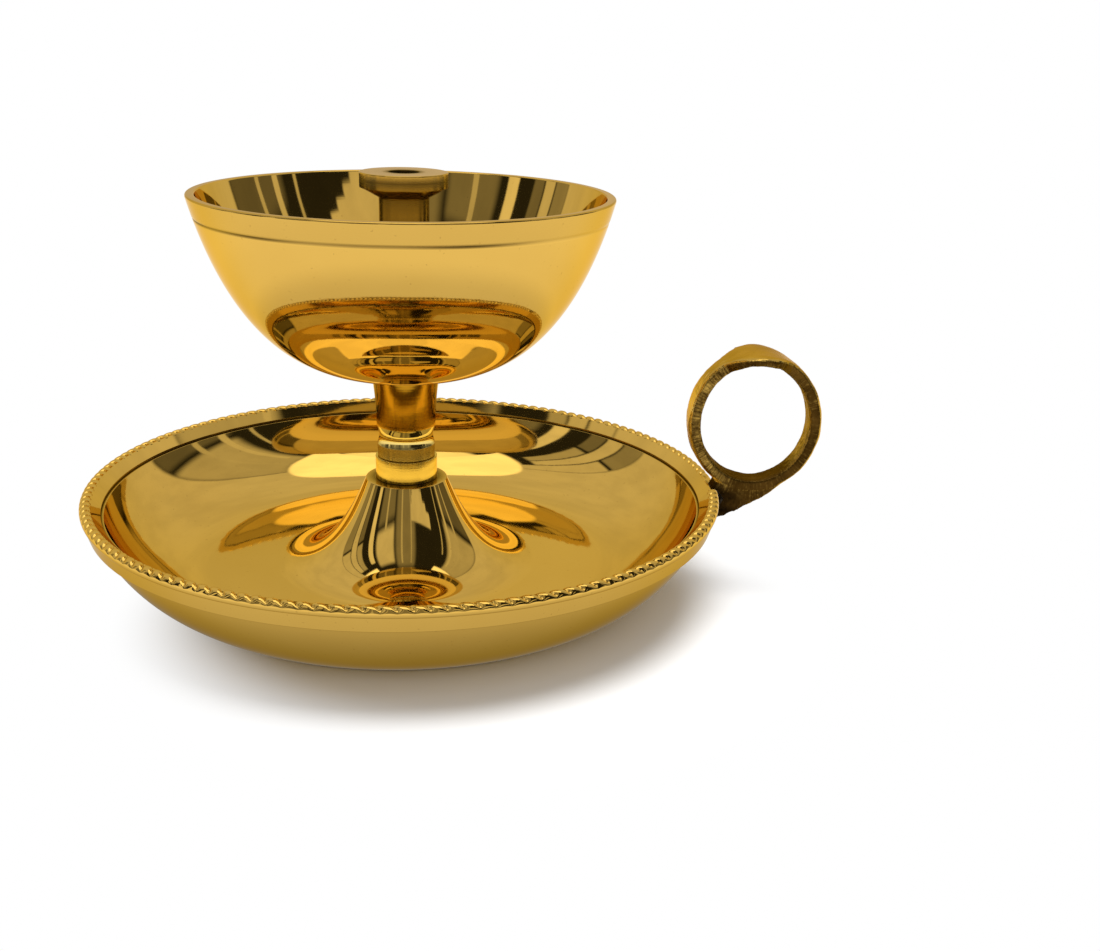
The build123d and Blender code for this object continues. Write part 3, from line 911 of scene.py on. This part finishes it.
def brazeBead(b):
    # ellipsoid with lumps: radius near 1 plus noise of the direction, scaled along the three axes
    rows, cols = b["rows"], b["columns"]
    u = np.linspace(0, math.pi, rows + 2)[1:-1, None]
    v = (np.arange(cols) * 2 * np.pi / cols)[None, :]
    way = np.stack([np.sin(u) * np.cos(v), np.sin(u) * np.sin(v), np.cos(u) + 0 * v], -1).reshape(-1, 3)
    ways = np.vstack([[0, 0, 1], way, [0, 0, -1]])
    lumps = smoothNoise(ways * b["half"], b["lumpSize"], seed=12)
    points = np.array(b["middle"]) + ways * b["half"] * (b["full"] + b["lump"] * lumps)[:, None]
    quads = (gridQuads(rows, cols, False, True, False) + 1).tolist()
    j = np.arange(cols)
    j2 = (j + 1) % cols
    lastRow = (rows - 1) * cols + 1
    first = np.stack([0 * j, j + 1, j2 + 1], -1)
    last = np.stack([0 * j + len(points) - 1, j2 + lastRow, j + lastRow], -1)
    piece = makePiece("rimBraze", points * mm, quads + np.vstack([first, last]).tolist())
    # black over most of the bead: soot and painted shade of the gap at the rim's notch
    keepValues(piece, "burntAndShaded", 1 - ramp(points[:, 1], *b["cleanSpan"]) * b["cleanest"])
    return piece


brazePiece = brazeBead(braze)
brazePiece.visible_glossy = False
place(brazePiece, blackBraze, "base", "braze", "handle_braze")
print("handle made, faces:", len(handlePiece.data.polygons))


# Camera, floor and light

camera = dict(place=(0.015828, -0.201705, 0.084848), yaw=2.001, pitch=18.792, roll=1.573, lens=43.626,
              sensor=36)


def photoCamera(c):
    yaw, pitch, roll = (math.radians(c[k]) for k in ("yaw", "pitch", "roll"))
    ahead = Vector((math.sin(yaw) * math.cos(pitch), math.cos(yaw) * math.cos(pitch), -math.sin(pitch)))
    right = Vector((math.cos(yaw), -math.sin(yaw), 0))
    up = right.cross(ahead)
    side = right * math.cos(roll) + up * math.sin(roll)
    top = up * math.cos(roll) - right * math.sin(roll)
    data = bpy.data.cameras.new("photoCamera")
    data.sensor_fit, data.sensor_width, data.lens = "HORIZONTAL", c["sensor"], c["lens"]
    data.clip_start, data.clip_end = 0.01, 50
    eye = bpy.data.objects.new("photoCamera", data)
    turn = Matrix((side, top, -ahead)).transposed().to_4x4()
    eye.matrix_world = Matrix.Translation(c["place"]) @ turn
    bpy.context.scene.collection.objects.link(eye)
    bpy.context.scene.camera = eye


photoCamera(camera)

# middle and edges bound the part that shows shade, and mirrorLevels are distances from the axis
# with how bright the floor shows there in reflections: the low levels near the axis are a painted shadow
# round the foot
floor = dict(half=4.0, drop=0.00005, colour=(0.93, 0.93, 0.93), rough=0.9,
             middle=(0.011, -0.014, 0.0),
             nearEdge=0.031, farEdge=0.054, mirrorColour=(1.0, 0.93, 0.77),
             mirrorLevels=[(0.036, 0.26), (0.062, 0.70), (0.085, 0.90), (0.150, 0.98)])


def paleFloor(f):
    # pale round the lamp and plain white further out, where it runs into the background; reflections see
    # it at levels of its own, low near the axis as a painted shadow
    h = f["half"]
    corners = [(-h, -h, -f["drop"]), (h, -h, -f["drop"]), (h, h, -f["drop"]), (-h, h, -f["drop"])]
    piece = makePiece("paleFloor", corners, [(0, 1, 2, 3)])
    material, tree, shader = newMaterial("paleFloor")
    shader.inputs["Roughness"].default_value = f["rough"]
    shader.inputs["Specular IOR Level"].default_value = 0.0
    spans = []
    for middle in ((0.0, 0.0, 0.0), f["middle"]):
        span = tree.nodes.new("ShaderNodeVectorMath")
        span.operation = "DISTANCE"
        span.inputs[1].default_value = middle
        tree.links.new(objectPlace(tree), span.inputs[0])
        spans.append(span.outputs["Value"])
    fromAxis, fromShade = spans
    ray = tree.nodes.new("ShaderNodeLightPath")
    bounced = mathNode(tree, "MAXIMUM", ray.outputs["Is Glossy Ray"], ray.outputs["Is Transmission Ray"])
    beyond = stretch(tree, fromShade, f["nearEdge"], f["farEdge"])
    white = times(tree, beyond, ray.outputs["Is Camera Ray"])
    # painted shadow: in reflections the floor shows darker near the axis
    levels = f["mirrorLevels"]
    level = levels[0][1]
    for (near, nearLevel), (far, farLevel) in zip(levels, levels[1:]):
        level = plus(tree, level, stretch(tree, fromAxis, near, far, 0.0, farLevel - nearLevel))
    glowing = mathNode(tree, "MAXIMUM", white, bounced)
    tree.links.new(blendColour(tree, glowing, f["colour"], (0.0, 0.0, 0.0)), shader.inputs["Base Color"])
    glow = plus(tree, white, times(tree, bounced, level))
    tree.links.new(glow, shader.inputs["Emission Strength"])
    glowColour = blendColour(tree, bounced, (1.0, 1.0, 1.0), f["mirrorColour"])
    tree.links.new(glowColour, shader.inputs["Emission Color"])
    piece.data.materials.append(material)


paleFloor(floor)

# each patch: azimuth from and to (0 towards the camera, + towards the handle), height from and to, both in
# degrees, soft edge and strength
glossPatches = [
    # back wall and ceiling
    (-190, -112, -10, 65, 1.5, 0.62), (126, 190, -10, 65, 1.5, 0.62), (-190, 190, 72, 95, 1.5, 1.3),
    (-190, -68, 64, 84, 1, 1.5), (68, 190, 64, 84, 1, 1.5),
    # on the handle's side
    (84, 126, -10, 22, 3, 0.13), (84, 126, 26, 65, 3, 0.48), (87, 91, -10, 60, 0.6, 0.6),
    (74, 76, -4, 50, 0.5, 0.5), (101, 104, -10, 60, 0.5, 0.5),
    # behind the camera
    (-20, 22, -10, 70, 5, 0.24), (-9, -5, 0, 66, 0.6, 0.5), (12, 15, 0, 66, 0.6, 0.45),
    # on the other side
    (-58, -24, -10, 33, 3, 0.20), (-58, -24, 36, 64, 3, 0.62), (-44, -40, -10, 60, 0.6, 0.5),
    (-72, -64, -10, 58, 0.7, 0.8), (-91, -83, -10, 33, 1, 0.18), (-91, -83, 35, 60, 1, 0.45),
    (-100, -92, -10, 60, 0.7, 0.6), (-112, -101, -10, 33, 1, 0.28), (-112, -101, 35, 65, 1, 0.6),
    # slanting light that shows inside the bowl
    (24, 30, 16, 20.8, 0.8, 0.62), (22, 34, 19, 23.3, 0.8, 0.62), (20, 39, 21.5, 25.8, 0.8, 0.62),
    (18, 44, 24, 28.3, 0.8, 0.62), (16, 50, 26.5, 30.8, 0.8, 0.62), (14, 56, 29, 36, 0.8, 0.62),
]
studio = dict(fill=0.62, base=0.02, tint=(1.0, 0.93, 0.77), unevenScale=5.0, uneven=(0.92, 1.05),
              glossPatches=glossPatches)


def whiteStudio(s):
    # white for the camera and even soft light; reflections see a dim room with the patches
    world = bpy.data.worlds.new("whiteStudio")
    world.use_nodes = True
    bpy.context.scene.world = world
    tree = world.node_tree
    way = tree.nodes.new("ShaderNodeSeparateXYZ")
    tree.links.new(tree.nodes.new("ShaderNodeTexCoord").outputs["Generated"], way.inputs[0])
    x, y, z = way.outputs
    turn = mathNode(tree, "DEGREES", mathNode(tree, "ARCTAN2", x, times(tree, y, -1.0)))
    rise = mathNode(tree, "DEGREES", mathNode(tree, "ARCSINE", z))
    level = s["base"]
    for fromTurn, toTurn, fromRise, toRise, soft, strength in s["glossPatches"]:
        sides = between(tree, turn, fromTurn, toTurn, soft)
        heights = between(tree, rise, fromRise, toRise, soft)
        patch = times(tree, times(tree, sides, heights), strength)
        level = mathNode(tree, "MAXIMUM", level, patch)
    ray = tree.nodes.new("ShaderNodeLightPath")
    mirrored = ray.outputs["Is Glossy Ray"]
    cloud = noiseNode(tree, vectorOf(tree, x, y, z), s["unevenScale"], detail=4.0, rough=0.6)
    room = times(tree, level, stretch(tree, cloud, 0.3, 0.7, *s["uneven"]))
    fill = times(tree, mathNode(tree, "SUBTRACT", 1.0, mirrored), s["fill"])
    light = plus(tree, times(tree, room, mirrored), fill)
    background = tree.nodes["Background"]
    strength = mathNode(tree, "MAXIMUM", light, ray.outputs["Is Camera Ray"])
    tree.links.new(strength, background.inputs["Strength"])
    tree.links.new(blendColour(tree, mirrored, (1.0, 1.0, 1.0), s["tint"]), background.inputs["Color"])


whiteStudio(studio)

keyLight = dict(place=(0.05, 0.10, 0.70), size=0.55, power=6.0)


def softBox(k):
    # round lamp above and behind, which gives the shadow and does not show in reflections
    data = bpy.data.lights.new("softBox", "AREA")
    data.shape, data.size, data.energy = "DISK", k["size"], k["power"]
    lamp = bpy.data.objects.new("softBox", data)
    spot = Vector(k["place"])
    lamp.matrix_world = Matrix.Translation(spot) @ (-spot).to_track_quat("-Z", "Y").to_matrix().to_4x4()
    lamp.visible_glossy = False
    bpy.context.scene.collection.objects.link(lamp)


softBox(keyLight)
bpy.context.scene.view_settings.view_transform = "Standard"
print("camera, floor and light ready")
